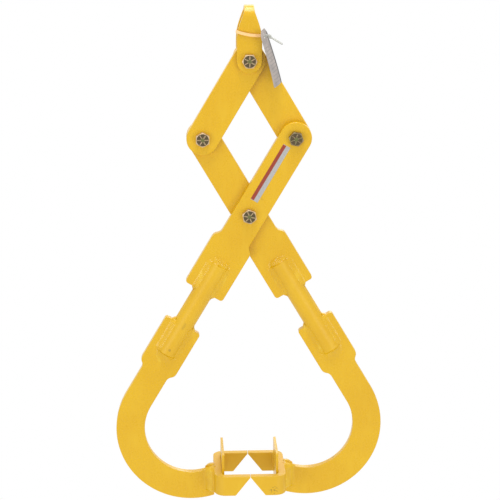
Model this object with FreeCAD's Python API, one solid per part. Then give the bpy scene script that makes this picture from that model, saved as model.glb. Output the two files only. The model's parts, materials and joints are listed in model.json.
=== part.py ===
import FreeCAD, Part
import math
import os

V = FreeCAD.Vector

# Lifting tongs, shut. Millimetres, +Z up, -Y to the front, origin under the crown of the bail,
# where a crane hook bears.

# Linkage
pivot_spacing = 152.4        # between pivots, the same on links and on the upper arms
shut_half_angle = 30.5       # degrees from each arm to the vertical, jaws shut
plate_thickness = 12.7
layer_gap = 0.3              # running gap between plates that turn past each other
link_width = 53.5
edge_ease = 0.7              # bevel along the edges of plate and bar

# Bolts, nuts and washers
bolt_diameter = 14.0
pivot_clearance = 0.08       # radial, bolt in its holes
hex_across_flats = 22.0
bolt_head_height = 8.8
hex_chamfer_angle = 30.0
hex_crown_share = 0.95       # flat round top of a hex, as a share of its width across flats
thread_chamfer = 1.5
thread_showing = 3.0         # bolt end beyond the nut
washer_diameter = 28.0
washer_thickness = 2.5
nut_height = 11.0
nut_collar_height = 3.6
nut_collar_wall = 1.3
nut_bore_clearance = 0.05
nylon_ring_wall = 1.2
nylon_ring_height = 2.6
bolt_turns = {"top": 0.0, "left": 30.0, "right": 12.0, "centre": 20.0}

# Bail
strap_thickness = 8.0
strap_width = 41.5
crown_width = 16.2           # strap at the top of its taper
eye_drop = 80.5              # crown underside to the top pivot
taper_angle = 20.0           # degrees from each side of the taper to the vertical
taper_top_rise = 1.2         # crown underside up to where the taper's line meets the crown's side
shoulder_radius = 100.0      # rounds the corner below the taper
crown_neck_radius = 30.0     # rounds the corner above it
bend_inner_radius = 8.0

# Arm plates and rods, lengths taken along the arm
arm_neck_length = 43.0       # centre pivot to where the plate starts to widen
arm_step_length = 19.0
arm_paddle_length = 90.3
arm_paddle_width = 72.0
arm_rod_overlap = 54.3       # rod let into the arm plate
paddle_corner_radius = 5.0
rod_diameter = 34.9
rod_chamfer = 1.5
slot_fit = 0.1               # between rod and slot
rod_weld_radius = 6.0

# Hook plates, lengths taken along the arm down to the bend
hook_rod_overlap = 58.5      # rod let into the hook plate
hook_slot_margin = 23.3      # end of the slot to where the plate starts to narrow
hook_step_length = 19.0
hook_straight_length = 52.5  # end of the step to the bend
hook_paddle_width = 66.8
hook_band_width = 48.5
hook_bend_radius = 104.5     # of the middle of the band
hook_overhang = 38.5         # middle of the bend, outside the jaw's outer face
hook_end_overrun = 6.0       # degrees that the bend runs on before the jaw cuts it off

# Jaws
jaw_depth = 127.0
jaw_bar_height = 34.5
jaw_bar_thickness = 12.7
jaw_bend_inner_radius = 6.35
jaw_reach = 60.6             # toe tip to the jaw's outer face
jaw_top_drop = 0.4           # tops of the toes, below the inside edge of the hook's end
toe_undercut_run = 25.5
toe_tip_height = 2.0
tip_gap = 0.8                # between the toes, jaws shut
stop_thickness = 4.0
stop_side_gap = 0.9          # stop plate's edge to the start of the jaw's bend
stop_rise = 33.5             # above the tops of the toes
stop_foot_rise = 4.0         # above the jaw's underside
stop_corner_radius = 4.0
hook_weld_leg = 16.0
hook_weld_top_drop = 2.0
stop_weld_leg = 3.0
stop_weld_inset = 12.5       # ends of the bead, from the edges of the stop plate
weld_bulge_share = 0.1       # of a bead's leg, outwards of a flat fillet

# Label strip on the front arm plate
label_width = 13.4
label_thickness = 0.25
label_centre_gap = 26.2      # from the centre pivot
label_side_gap = 18.6        # from the right pivot
label_offset = 6.4           # from the middle of the plate, towards its upper edge

# Cable tie and hang tag
tie_width = 4.8
tie_thickness = 1.2
tie_slack = 0.5              # between tie and strap, front and rear
tie_inner_width = 42.4       # inside of the band, across the strap
tie_drop = 35.3              # crown underside to the tie's middle
tie_tilt = 9.0               # degrees, lower on the right
tie_corner_radius = 2.0
tie_neck_length = 8.0
tie_neck_thickness = 2.6
tie_head_length = 5.0
tie_head_width = 7.2
tie_head_height = 6.4
tie_tail_length = 25.0
tie_tail_droop = 22.0        # degrees below the tie's own line
tag_length = 95.0
tag_width = 38.0
tag_thickness = 0.8
tag_corner_cut = 9.0
tag_hole_diameter = 8.4
tag_hole_drop = 11.0         # tag's top edge to its hole
tag_seat_gap = 1.2           # top of the hole to the tie, square to the tag
tag_lean = 14.5              # degrees from the vertical, lower end outwards
tag_twist = 23.0             # degrees, front edge turned inwards

overrun = 5.0                # cuts reach this far past what they cut


# Places that follow from the sizes above
half_angle = math.radians(shut_half_angle)
link_radius = link_width / 2
side_reach = pivot_spacing * math.sin(half_angle)
side_drop = pivot_spacing * math.cos(half_angle)
top_pivot = V(0, 0, -eye_drop)
left_pivot = top_pivot + V(-side_reach, 0, -side_drop)
right_pivot = top_pivot + V(side_reach, 0, -side_drop)
centre_pivot = top_pivot + V(0, 0, -2 * side_drop)
plates_outer = plate_thickness + layer_gap / 2
front_layer = -plates_outer  # front faces of the two plate layers
rear_layer = layer_gap / 2
strap_inner = plates_outer + layer_gap
strap_outer = strap_inner + strap_thickness
bolt_radius = bolt_diameter / 2
hole_radius = bolt_radius + pivot_clearance
nylon_ring_radius = bolt_radius + nylon_ring_wall
rod_radius = rod_diameter / 2
tip_x = tip_gap / 2
jaw_outer = tip_x + jaw_reach
jaw_inner = jaw_outer - jaw_bar_thickness
jaw_bend_outer_radius = jaw_bend_inner_radius + jaw_bar_thickness
stop_depth = jaw_depth - 2 * (jaw_bend_outer_radius + stop_side_gap)

# Distances along an arm from the centre pivot
arm_step_start = arm_neck_length
arm_step_end = arm_step_start + arm_step_length
arm_plate_end = arm_step_end + arm_paddle_length
rod_top = arm_plate_end - arm_rod_overlap
bend_centre_x = jaw_outer + hook_overhang
hook_bend_start = (bend_centre_x + hook_bend_radius * math.cos(half_angle)) / math.sin(half_angle)
hook_step_end = hook_bend_start - hook_straight_length
hook_step_start = hook_step_end - hook_step_length
rod_bottom = hook_step_start - hook_slot_margin
hook_plate_top = rod_bottom - hook_rod_overlap

# The hook's bend and the height of the jaw on its end
hook_outer_radius = hook_bend_radius + hook_band_width / 2
hook_inner_radius = hook_bend_radius - hook_band_width / 2
hook_end_angle = math.degrees(math.asin(hook_overhang / hook_inner_radius))
bend_drop = hook_bend_start * math.cos(half_angle) + hook_bend_radius * math.sin(half_angle)
hook_end_drop = math.sqrt(hook_inner_radius ** 2 - hook_overhang ** 2)
toe_top = centre_pivot.z - bend_drop - hook_end_drop - jaw_top_drop
toe_bottom = toe_top - jaw_bar_height

sides = {"left": -1, "right": 1}
layers = {"left": front_layer, "right": rear_layer}
lateral = V(0, 1, 0)
upright = V(0, 0, 1)


def line(start, end):
    return Part.LineSegment(start, end).toShape()


def arc(start, middle, end):
    return Part.Arc(start, middle, end).toShape()


def polyline(points):
    return [line(a, b) for a, b in zip(points, points[1:])]


def prism(edges, reach):
    return Part.Face(Part.Wire(edges)).extrude(reach)


def eased(bar, normal, sharp_end=None):
    """A bar or plate with the edges of its two flat outlines bevelled, apart from a sharp end."""
    edges = []
    for face in bar.Faces:
        if abs(face.normalAt(0, 0).dot(normal)) > 1 / 2 and face.Surface.TypeId == "Part::GeomPlane":
            edges += face.OuterWire.Edges
    if sharp_end:
        edges = [e for e in edges if (e.CenterOfMass - sharp_end).cross(normal).Length > edge_ease]
    return bar.makeChamfer(edge_ease, edges)


def mirrored(shape, side):
    """A shape made for the right side, mirrored for the left."""
    if side > 0:
        return shape
    return shape.mirror(V(0, 0, 0), V(1, 0, 0))


def turned(shape, pivot, degrees):
    shape = shape.copy()
    shape.rotate(pivot, lateral, degrees)
    return shape


def round_bar_y(radius, start_y, end_y, x, z):
    return Part.makeCylinder(radius, end_y - start_y, V(x, start_y, z), lateral)


def flat_points(pairs):
    """Points (across, along) of a plate whose length runs down from the origin."""
    return [V(across, 0, -along) for across, along in pairs]


def half_round(radius, along, outward):
    """Half circle about the origin's line, from one edge of a plate to the other."""
    ends = flat_points([(radius, along), (0, along + outward * radius), (-radius, along)])
    return arc(*ends)


def step_edges(start, end):
    """Two equal arcs from one plate edge to a wider or narrower one, both ends along the plate."""
    (across_0, along_0), (across_1, along_1) = start, end
    rise = (across_1 - across_0) / 2
    run = (along_1 - along_0) / 2
    sweep = 2 * math.atan2(abs(rise), abs(run))
    radius = abs(run) / math.sin(sweep)
    bow_across = math.copysign(radius * (1 - math.cos(sweep / 2)), rise)
    bow_along = math.copysign(radius * math.sin(sweep / 2), run)
    points = flat_points([
        start,
        (across_0 + bow_across, along_0 + bow_along),
        (across_0 + rise, along_0 + run),
        (across_1 - bow_across, along_1 - bow_along),
        end,
    ])
    return [arc(*points[:3]), arc(*points[2:])]


def rounded_corner(corner, before, after, radius):
    """Start, middle and end of the arc that rounds off a corner between two directions of travel."""
    half_turn = before.getAngle(after) / 2
    reach = radius * math.tan(half_turn)
    inward = (after - before).normalize()
    middle = corner + inward * (radius / math.cos(half_turn) - radius)
    return [corner - before * reach, middle, corner + after * reach]


def paddle_end(half_width, end, outward):
    """Edges of a plate's square end, from its right edge to its left, with round corners."""
    right, left = flat_points([(half_width, end), (-half_width, end)])
    along = V(0, 0, -outward)
    to_left = V(-1, 0, 0)
    first = rounded_corner(right, along, to_left, paddle_corner_radius)
    last = rounded_corner(left, to_left, -along, paddle_corner_radius)
    return [arc(*first), line(first[-1], last[0]), arc(*last)]


def slotted(plate, slot_end, plate_end):
    """A plate with the slot for the rod, open at the plate's end."""
    half = rod_radius + slot_fit
    run = plate_end - slot_end
    closed_end = slot_end - math.copysign(slot_fit, run)
    open_end = plate_end + math.copysign(overrun, run)
    start, stop = sorted([closed_end, open_end])
    room = Part.makeBox(2 * half, plate_thickness + 2 * overrun, stop - start, V(-half, -overrun, -stop))
    return plate.cut(room)


def drilled(plate, places):
    for place in places:
        plate = plate.cut(round_bar_y(hole_radius, -overrun, plate_thickness + overrun, place.x, place.z))
    return plate


# Links: straight bars with round ends
def link(side_name):
    side = sides[side_name]
    corners = flat_points([(link_radius, 0), (link_radius, pivot_spacing)])
    mirror_corners = flat_points([(-link_radius, pivot_spacing), (-link_radius, 0)])
    edges = [line(*corners), half_round(link_radius, pivot_spacing, 1), line(*mirror_corners)]
    edges.append(half_round(link_radius, 0, -1))
    bar = eased(prism(edges, V(0, plate_thickness, 0)), lateral)
    bar = drilled(bar, flat_points([(0, 0), (0, pivot_spacing)]))
    bar.translate(V(0, layers[side_name], 0) + top_pivot)
    return turned(bar, top_pivot, -side * shut_half_angle)


# Arms are made hanging straight down from the centre pivot, then moved to their layer and turned
def set_arm(shape, side_name):
    shape = shape.copy()
    shape.translate(V(0, layers[side_name], 0) + centre_pivot)
    return turned(shape, centre_pivot, -sides[side_name] * shut_half_angle)


def arm_plate():
    paddle = arm_paddle_width / 2
    corner = arm_plate_end - paddle_corner_radius
    edges = [line(*flat_points([(link_radius, -pivot_spacing), (link_radius, arm_step_start)]))]
    edges += step_edges((link_radius, arm_step_start), (paddle, arm_step_end))
    edges += [line(*flat_points([(paddle, arm_step_end), (paddle, corner)]))]
    edges += paddle_end(paddle, arm_plate_end, 1)
    edges += [line(*flat_points([(-paddle, corner), (-paddle, arm_step_end)]))]
    edges += step_edges((-paddle, arm_step_end), (-link_radius, arm_step_start))
    edges += [line(*flat_points([(-link_radius, arm_step_start), (-link_radius, -pivot_spacing)]))]
    edges.append(half_round(link_radius, -pivot_spacing, -1))
    plate = slotted(eased(prism(edges, V(0, plate_thickness, 0)), lateral), rod_top, arm_plate_end)
    return drilled(plate, flat_points([(0, -pivot_spacing), (0, 0)]))


def rod():
    lower_end = V(0, plate_thickness / 2, -rod_bottom)
    bar = Part.makeCylinder(rod_radius, rod_bottom - rod_top, lower_end, upright)
    rims = [edge for edge in bar.Edges if edge.Closed]
    return bar.makeChamfer(rod_chamfer, rims)


# Hook plates are made bending to the left, which is inwards for the right arm
def bend_point(radius, sweep):
    angle = math.radians(sweep)
    return V(radius * math.cos(angle) - hook_bend_radius, 0, -hook_bend_start - radius * math.sin(angle))


def bend_edge(radius, sweep):
    return arc(*[bend_point(radius, share * sweep) for share in (0, 1 / 2, 1)])


def straight_hook():
    """Hook plate in line with its arm, its end run on past the place where the jaw cuts it off."""
    paddle = hook_paddle_width / 2
    band = hook_band_width / 2
    corner = hook_plate_top + paddle_corner_radius
    sweep = shut_half_angle + 90 + hook_end_angle + hook_end_overrun
    edges = paddle_end(paddle, hook_plate_top, -1)
    edges += [line(*flat_points([(-paddle, corner), (-paddle, hook_step_start)]))]
    edges += step_edges((-paddle, hook_step_start), (-band, hook_step_end))
    edges += [line(*flat_points([(-band, hook_step_end), (-band, hook_bend_start)]))]
    edges += [bend_edge(hook_inner_radius, sweep)]
    edges += [line(bend_point(hook_inner_radius, sweep), bend_point(hook_outer_radius, sweep))]
    edges += [bend_edge(hook_outer_radius, sweep)]
    edges += [line(*flat_points([(band, hook_bend_start), (band, hook_step_end)]))]
    edges += step_edges((band, hook_step_end), (paddle, hook_step_start))
    edges += [line(*flat_points([(paddle, hook_step_start), (paddle, corner)]))]
    plate = prism(Part.__sortEdges__(edges), V(0, plate_thickness, 0))
    plate = eased(plate, lateral, bend_point(hook_bend_radius, sweep))
    return slotted(plate, rod_bottom, hook_plate_top)


def hook_plate(side_name):
    plate = set_arm(mirrored(straight_hook(), sides[side_name]), side_name)
    return plate.cut(inside_jaw_face(side_name))


def inside_jaw_face(side_name):
    """Room on the inner side of the jaw's outer face, where the hook stops."""
    lowest = toe_bottom - hook_outer_radius
    height = toe_top + hook_inner_radius - lowest
    room = Part.makeBox(jaw_outer + overrun, jaw_depth, height, V(-overrun, -jaw_depth / 2, lowest))
    return mirrored(room, sides[side_name])


# Weld beads beside the rod and across its end, on both faces of a plate
def rod_welds(plate, bar, slot_end, plate_end):
    beads = []
    start, stop = sorted([slot_end, plate_end])
    for face in (0, plate_thickness):
        corner = V(-rod_radius, face, -slot_end)
        runs = [Part.makeCylinder(rod_weld_radius, rod_diameter, corner, V(1, 0, 0))]
        for across in (-rod_radius, rod_radius):
            runs.append(Part.makeCylinder(rod_weld_radius, stop - start, V(across, face, -stop), upright))
            runs.append(Part.makeSphere(rod_weld_radius, V(across, face, -slot_end)))
        bead = runs[0].multiFuse(runs[1:]).cut(plate).cut(bar)
        beads += outer_solids(bead, face)
    return Part.makeCompound(beads)


def outer_solids(bead, face):
    """The lumps of a bead that stand on the outside of the plate, without what is left inside its slot."""
    middle = plate_thickness / 2
    return [s for s in bead.Solids if (s.CenterOfMass.y - face) * (face - middle) > 0]


# Jaws: a flat bar bent to a U in plan, its toes cut to a slant below
def jaw_bar(side_name):
    half = jaw_depth / 2
    inner_half = half - jaw_bar_thickness
    bend = jaw_bend_outer_radius
    slant = 1 / math.sqrt(2)
    centre_x = jaw_outer - bend
    centre_y = half - bend

    def at(x, y):
        return V(x, y, toe_bottom)

    def corner(radius, sign):
        return at(centre_x + radius * slant, sign * (centre_y + radius * slant))

    outer_ends = [at(centre_x, -half), corner(bend, -1), at(jaw_outer, -centre_y)]
    outer_rear = [at(jaw_outer, centre_y), corner(bend, 1), at(centre_x, half)]
    inner_rear = [at(centre_x, inner_half), corner(jaw_bend_inner_radius, 1), at(jaw_inner, centre_y)]
    inner_front = [at(jaw_inner, -centre_y), corner(jaw_bend_inner_radius, -1), at(centre_x, -inner_half)]
    edges = [line(at(tip_x, -half), outer_ends[0]), arc(*outer_ends)]
    edges += [line(outer_ends[-1], outer_rear[0]), arc(*outer_rear)]
    edges += polyline([outer_rear[-1], at(tip_x, half), at(tip_x, inner_half), inner_rear[0]])
    edges += [arc(*inner_rear), line(inner_rear[-1], inner_front[0]), arc(*inner_front)]
    edges += polyline([inner_front[-1], at(tip_x, -inner_half), at(tip_x, -half)])
    bar = eased(prism(edges, V(0, 0, jaw_bar_height)), upright)

    slant_top = toe_top - toe_tip_height
    cut_front = -half - overrun
    undercut = [
        V(tip_x, cut_front, slant_top),
        V(tip_x + toe_undercut_run, cut_front, toe_bottom),
        V(tip_x + toe_undercut_run, cut_front, toe_bottom - overrun),
        V(tip_x - overrun, cut_front, toe_bottom - overrun),
        V(tip_x - overrun, cut_front, slant_top),
    ]
    wedge = prism(polyline(undercut + undercut[:1]), V(0, jaw_depth + 2 * overrun, 0))
    return mirrored(bar.cut(wedge), sides[side_name])


def stop_plate(side_name):
    height = toe_top + stop_rise - toe_bottom - stop_foot_rise
    corner = V(jaw_inner - stop_thickness, -stop_depth / 2, toe_bottom + stop_foot_rise)
    plate = Part.makeBox(stop_thickness, stop_depth, height, corner)
    top_corners = []
    for edge in plate.Edges:
        along_x = abs(edge.tangentAt(edge.FirstParameter).x) > 1 / 2
        if along_x and edge.CenterOfMass.z > plate.CenterOfMass.z:
            top_corners.append(edge)
    plate = plate.makeFillet(stop_corner_radius, top_corners)
    return mirrored(plate, sides[side_name])


def bead_profile(corner, leg_a, leg_b):
    """Edges of a fillet bead in a corner, its outer side bowed outwards."""
    a = corner + leg_a
    b = corner + leg_b
    middle = (a + b) / 2 + (leg_a + leg_b) * weld_bulge_share
    return [line(corner, a), arc(a, middle, b), line(b, corner)]


def hook_welds(side_name):
    beads = []
    front = layers[side_name]
    leg_x = V(hook_weld_leg, 0, 0)
    height = V(0, 0, jaw_bar_height - hook_weld_top_drop)
    for face, sign in ((front, -1), (front + plate_thickness, 1)):
        corner = V(jaw_outer, face, toe_bottom)
        beads.append(prism(bead_profile(corner, leg_x, V(0, sign * hook_weld_leg, 0)), height))
    return mirrored(Part.makeCompound(beads), sides[side_name])


def stop_weld(side_name):
    """Bead under the stop plate's foot, against the jaw's inner face."""
    length = stop_depth - 2 * stop_weld_inset
    corner = V(jaw_inner, -length / 2, toe_bottom + stop_foot_rise)
    profile = bead_profile(corner, V(-stop_weld_leg, 0, 0), V(0, 0, -stop_weld_leg))
    return mirrored(prism(profile, V(0, length, 0)), sides[side_name])


# Bolts are made along +Z from under the head, then turned to run front to back
def laid_back(shape, place, turn=0):
    shape = shape.copy()
    shape.rotate(V(0, 0, 0), upright, turn)
    shape.rotate(V(0, 0, 0), V(1, 0, 0), -90)
    shape.translate(place)
    return shape


def hexagon(height):
    across_corners = hex_across_flats / math.cos(math.pi / 6)
    corners = []
    for turn in range(7):
        angle = turn * math.pi / 3
        corners.append(V(across_corners / 2 * math.cos(angle), across_corners / 2 * math.sin(angle), 0))
    block = prism(polyline(corners), V(0, 0, height))
    crown = hex_across_flats * hex_crown_share / 2
    flare = height / math.tan(math.radians(hex_chamfer_angle))
    return block.common(Part.makeCone(crown + flare, crown, height))


def bolt(length):
    head = hexagon(bolt_head_height).mirror(V(0, 0, 0), upright)
    shank = Part.makeCylinder(bolt_radius, length)
    far_rim = [edge for edge in shank.Edges if edge.Closed and edge.CenterOfMass.z > length / 2]
    shank = shank.makeChamfer(thread_chamfer, far_rim)
    return head.fuse(shank).removeSplitter()


def lock_nut():
    collar = Part.makeCylinder(nylon_ring_radius + nut_collar_wall, nut_height + nut_collar_height)
    bore = Part.makeCylinder(bolt_radius + nut_bore_clearance, nut_height + nut_collar_height)
    seat = Part.makeCylinder(nylon_ring_radius, nylon_ring_height, V(0, 0, ring_start()))
    return hexagon(nut_height).fuse(collar).cut(bore).cut(seat).removeSplitter()


def ring_start():
    """The nylon ring sits a collar lip below the nut's far face."""
    lip = nut_collar_height - nylon_ring_height
    return nut_height + lip / 2


def nylon_ring():
    ring = Part.makeCylinder(nylon_ring_radius, nylon_ring_height, V(0, 0, ring_start()))
    return ring.cut(Part.makeCylinder(bolt_radius, nut_height + nut_collar_height))


def washer():
    disc = Part.makeCylinder(washer_diameter / 2, washer_thickness)
    return disc.cut(Part.makeCylinder(bolt_radius + nut_bore_clearance, washer_thickness))


def fastener(name, pivot, outer_face):
    """Bolt, washer, nut and nylon ring through plates whose outer faces lie this far from the middle."""
    seat = outer_face + layer_gap
    nut_seat = seat + washer_thickness
    length = seat + nut_seat + nut_height + nut_collar_height + thread_showing
    turn = bolt_turns[name]
    return {
        f"{name}_bolt": laid_back(bolt(length), pivot + V(0, -seat, 0), turn),
        f"{name}_washer": laid_back(washer(), pivot + V(0, seat, 0)),
        f"{name}_lock_nut": laid_back(lock_nut(), pivot + V(0, nut_seat, 0), turn),
        f"{name}_nylon_ring": laid_back(nylon_ring(), pivot + V(0, nut_seat, 0)),
    }


# Bail: a strap bent over to two legs, cut to a taper seen from the front
def bail_strap():
    foot = -eye_drop - strap_width / 2 - overrun

    def leg_path(depth, top, radius):
        """Outline of the bent strap seen from the side, from the front leg's foot over to the rear one."""
        slant = radius * (1 - 1 / math.sqrt(2))
        front = [V(0, -depth, top - radius), V(0, -depth + slant, top - slant), V(0, -depth + radius, top)]
        rear = [V(0, -p.y, p.z) for p in reversed(front)]
        edges = [line(V(0, -depth, foot), front[0]), arc(*front), line(front[-1], rear[0]), arc(*rear)]
        return edges + [line(rear[-1], V(0, depth, foot))]

    outside = leg_path(strap_outer, strap_thickness, bend_inner_radius + strap_thickness)
    inside = leg_path(strap_inner, 0, bend_inner_radius)
    feet = [line(V(0, s * strap_outer, foot), V(0, s * strap_inner, foot)) for s in (-1, 1)]
    bent = prism(Part.__sortEdges__(outside + inside + feet), V(strap_width, 0, 0))
    bent.translate(V(-strap_width / 2, 0, 0))
    strap = bent.common(bail_outline())
    rims = [e for e in strap.Edges if sum(map(is_cut_side, strap.ancestorsOfType(e, Part.Face))) == 1]
    strap = strap.makeChamfer(edge_ease, rims)
    bore = round_bar_y(hole_radius, -strap_outer - overrun, strap_outer + overrun, 0, top_pivot.z)
    return strap.cut(bore)


def is_cut_side(face):
    """Whether a face belongs to the strap's outline, all of which runs front to back."""
    if face.Surface.TypeId == "Part::GeomPlane":
        return abs(face.Surface.Axis.x) > 1 / 2
    return abs(face.Surface.Axis.y) > 1 / 2


def bail_outline():
    """The strap's shape from the front: round foot, straight sides, a shoulder and a taper to the crown."""
    half = strap_width / 2
    back = -strap_outer - overrun
    top = V(crown_width / 2, back, strap_thickness + overrun)
    foot = V(half, back, top_pivot.z)
    crown_corner = V(crown_width / 2, back, taper_top_rise)
    slope = math.radians(taper_angle)
    taper = V(-math.sin(slope), 0, math.cos(slope))
    side_corner = crown_corner - taper * ((half - crown_width / 2) / math.sin(slope))
    shoulder = rounded_corner(side_corner, upright, taper, shoulder_radius)
    neck = rounded_corner(crown_corner, taper, upright, crown_neck_radius)
    edges = [line(foot, shoulder[0]), arc(*shoulder), line(shoulder[-1], neck[0])]
    edges += [arc(*neck), line(neck[-1], top)]
    edges += [mirrored(edge, -1) for edge in edges]
    edges.append(line(top, V(-top.x, back, top.z)))
    edges.append(arc(foot, V(0, back, foot.z - half), V(-half, back, foot.z)))
    return prism(Part.__sortEdges__(edges), V(0, 2 * (strap_outer + overrun), 0))


# Cable tie: a band round the front leg, a neck through the tag's hole, a head and a tail
def tie_middle():
    return V(0, -(strap_outer + strap_inner) / 2, -tie_drop)


def rounded_block(half_x, half_y, height, radius):
    block = Part.makeBox(2 * half_x, 2 * half_y, height, V(-half_x, -half_y, -height / 2))
    uprights = [e for e in block.Edges if abs(e.tangentAt(e.FirstParameter).z) > 1 / 2]
    return block.makeFillet(radius, uprights)


def tie_neck_start():
    return tie_inner_width / 2 + tie_thickness


def cable_tie():
    half_x = tie_inner_width / 2
    half_y = strap_thickness / 2 + tie_slack
    outside = rounded_block(half_x + tie_thickness, half_y + tie_thickness, tie_width, tie_corner_radius)
    inside = rounded_block(half_x, half_y, tie_width, tie_corner_radius - tie_thickness)
    band = outside.cut(inside)
    neck_x = half_x + tie_thickness / 2
    head_x = tie_neck_start() + tie_neck_length
    neck_y = tie_line_y()
    neck = Part.makeBox(head_x - neck_x, tie_neck_thickness, tie_width,
                        V(neck_x, neck_y - tie_neck_thickness / 2, -tie_width / 2))
    head = Part.makeBox(tie_head_length, tie_head_width, tie_head_height,
                        V(head_x, neck_y - tie_head_width / 2, -tie_head_height / 2))
    head = head.makeFillet(tie_thickness, head.Edges)
    tail = Part.makeBox(tie_tail_length, tie_width, tie_thickness,
                        V(0, neck_y - tie_width / 2, -tie_thickness / 2))
    tail.rotate(V(0, neck_y, 0), lateral, tie_tail_droop)
    tail.translate(V(head_x + tie_head_length / 2, 0, 0))
    tie = band.fuse([neck, head, tail]).removeSplitter()
    tie.rotate(V(0, 0, 0), lateral, tie_tilt)
    tie.translate(tie_middle())
    return tie


def tie_line_y():
    """The neck and head lie in front of the strap's middle, level with its front leg."""
    return -(strap_thickness / 2 + tie_slack + tie_thickness - tie_neck_thickness / 2)


def tag_hole_place():
    """Middle of the tie's neck, inside the tag's hole."""
    tilt = math.radians(tie_tilt)
    out = tie_neck_start() + tie_neck_length / 2
    return tie_middle() + V(out * math.cos(tilt), tie_line_y(), -out * math.sin(tilt))


def tag_sag():
    """How far the hole's middle hangs below the neck's, the neck's upper corners near the hole's edge."""
    free_radius = tag_hole_diameter / 2 - tag_seat_gap
    return math.sqrt(free_radius ** 2 - (tie_neck_thickness / 2) ** 2) - tie_width / 2


# Hang tag: a thin card with its upper corners cut off, hung by a hole
def hang_tag():
    half = tag_width / 2
    top = tag_hole_drop
    bottom = top - tag_length
    cut = tag_corner_cut
    right_edge = [(half, bottom), (half, top - cut), (half - cut, top)]
    left_edge = [(-y, z) for y, z in reversed(right_edge)]
    outline = right_edge + left_edge + right_edge[:1]
    back = -tag_thickness / 2
    card = prism(polyline([V(back, y, z) for y, z in outline]), V(tag_thickness, 0, 0))
    depth = tag_thickness + 2 * overrun
    card = card.cut(Part.makeCylinder(tag_hole_diameter / 2, depth, V(back - overrun, 0, 0), V(1, 0, 0)))
    card.translate(V(0, 0, -tag_sag()))
    card.rotate(V(0, 0, 0), upright, -tag_twist)
    card.rotate(V(0, 0, 0), lateral, -tag_lean)
    card.translate(tag_hole_place())
    return card


def label_strip():
    corner = V(-label_offset - label_width / 2, -label_thickness, label_centre_gap)
    length = pivot_spacing - label_centre_gap - label_side_gap
    strip = Part.makeBox(label_width, label_thickness, length, corner)
    return set_arm(strip, "left")


nodes = {"bail_strap": bail_strap(), "cable_tie": cable_tie(), "hang_tag": hang_tag()}

nodes.update(fastener("top", top_pivot, strap_outer))
nodes.update(fastener("left", left_pivot, plates_outer))
nodes.update(fastener("right", right_pivot, plates_outer))
nodes.update(fastener("centre", centre_pivot, plates_outer))

straight_plate = arm_plate()
straight_rod = rod()
upper_beads = rod_welds(straight_plate, straight_rod, rod_top, arm_plate_end)
lower_beads = rod_welds(straight_hook(), straight_rod, rod_bottom, hook_plate_top)
for name in sides:
    nodes[f"{name}_link"] = link(name)
    nodes[f"{name}_arm_plate"] = set_arm(straight_plate, name)
    nodes[f"{name}_rod"] = set_arm(straight_rod, name)
    nodes[f"{name}_hook_plate"] = hook_plate(name)
    nodes[f"{name}_jaw_bar"] = jaw_bar(name)
    nodes[f"{name}_stop_plate"] = stop_plate(name)
    nodes[f"{name}_hook_welds"] = hook_welds(name)
    nodes[f"{name}_stop_weld"] = stop_weld(name)
    nodes[f"{name}_upper_rod_welds"] = set_arm(upper_beads, name)
    nodes[f"{name}_lower_rod_welds"] = set_arm(lower_beads, name)
nodes["label_strip"] = label_strip()

os.makedirs("parts", exist_ok=True)
for name, shape in nodes.items():
    shape.exportStep(f"parts/{name}.step")
    volumes = [round(s.Volume, 1) for s in shape.Solids]
    print(name, "valid" if shape.isValid() else "NOT VALID", volumes)
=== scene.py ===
import json
import math
import bmesh
import bpy
from mathutils import Matrix, Vector, noise


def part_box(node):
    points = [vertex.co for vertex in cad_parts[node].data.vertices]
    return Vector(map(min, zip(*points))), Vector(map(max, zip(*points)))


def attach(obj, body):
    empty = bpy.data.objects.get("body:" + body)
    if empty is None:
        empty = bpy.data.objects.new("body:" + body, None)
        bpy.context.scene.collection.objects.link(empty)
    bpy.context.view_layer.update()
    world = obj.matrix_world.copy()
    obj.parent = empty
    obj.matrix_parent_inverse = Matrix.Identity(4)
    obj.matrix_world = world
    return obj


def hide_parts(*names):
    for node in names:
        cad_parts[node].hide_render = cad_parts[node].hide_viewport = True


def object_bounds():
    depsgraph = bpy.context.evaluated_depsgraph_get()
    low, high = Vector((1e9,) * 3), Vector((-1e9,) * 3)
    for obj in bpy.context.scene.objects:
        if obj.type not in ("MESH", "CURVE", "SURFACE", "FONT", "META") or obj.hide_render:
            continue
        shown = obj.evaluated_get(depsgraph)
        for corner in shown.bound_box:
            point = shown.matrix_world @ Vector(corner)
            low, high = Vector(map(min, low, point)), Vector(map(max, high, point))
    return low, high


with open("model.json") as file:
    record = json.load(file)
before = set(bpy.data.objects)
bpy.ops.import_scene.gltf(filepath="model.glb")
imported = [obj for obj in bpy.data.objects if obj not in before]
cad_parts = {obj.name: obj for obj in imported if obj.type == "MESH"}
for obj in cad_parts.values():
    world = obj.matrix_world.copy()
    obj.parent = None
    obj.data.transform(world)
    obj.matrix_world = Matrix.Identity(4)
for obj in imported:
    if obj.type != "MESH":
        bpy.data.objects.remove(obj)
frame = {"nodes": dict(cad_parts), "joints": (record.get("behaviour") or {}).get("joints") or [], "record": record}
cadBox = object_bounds()
print("frame loaded:", len(frame["nodes"]), "nodes")

mm = 0.001
nodes = frame["nodes"]
record = frame["record"]
bodyOf = {node: body for body, members in record["behaviour"]["bodies"].items() for node in members}
slotOf = {part["node"]: part["material_slot"] for part in record["subparts"]}
hinges = {joint["name"]: Vector(joint["pos_m"]) for joint in frame["joints"]}
sideSigns = {"left": -1, "right": 1}
rightward, backward, upward = Matrix.Identity(3)     # unit steps along x, y and z


# places read from the frame

def middle(node):
    low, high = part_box(node)
    return (low + high) / 2


def reach(node, along):                              # nearest and farthest point of a node in a direction
    spans = [vert.co.dot(along) for vert in nodes[node].data.vertices]
    return min(spans), max(spans)


def levelled(point, y=0.0):                          # the same place, at another depth
    return Vector((point.x, y, point.z))


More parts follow.
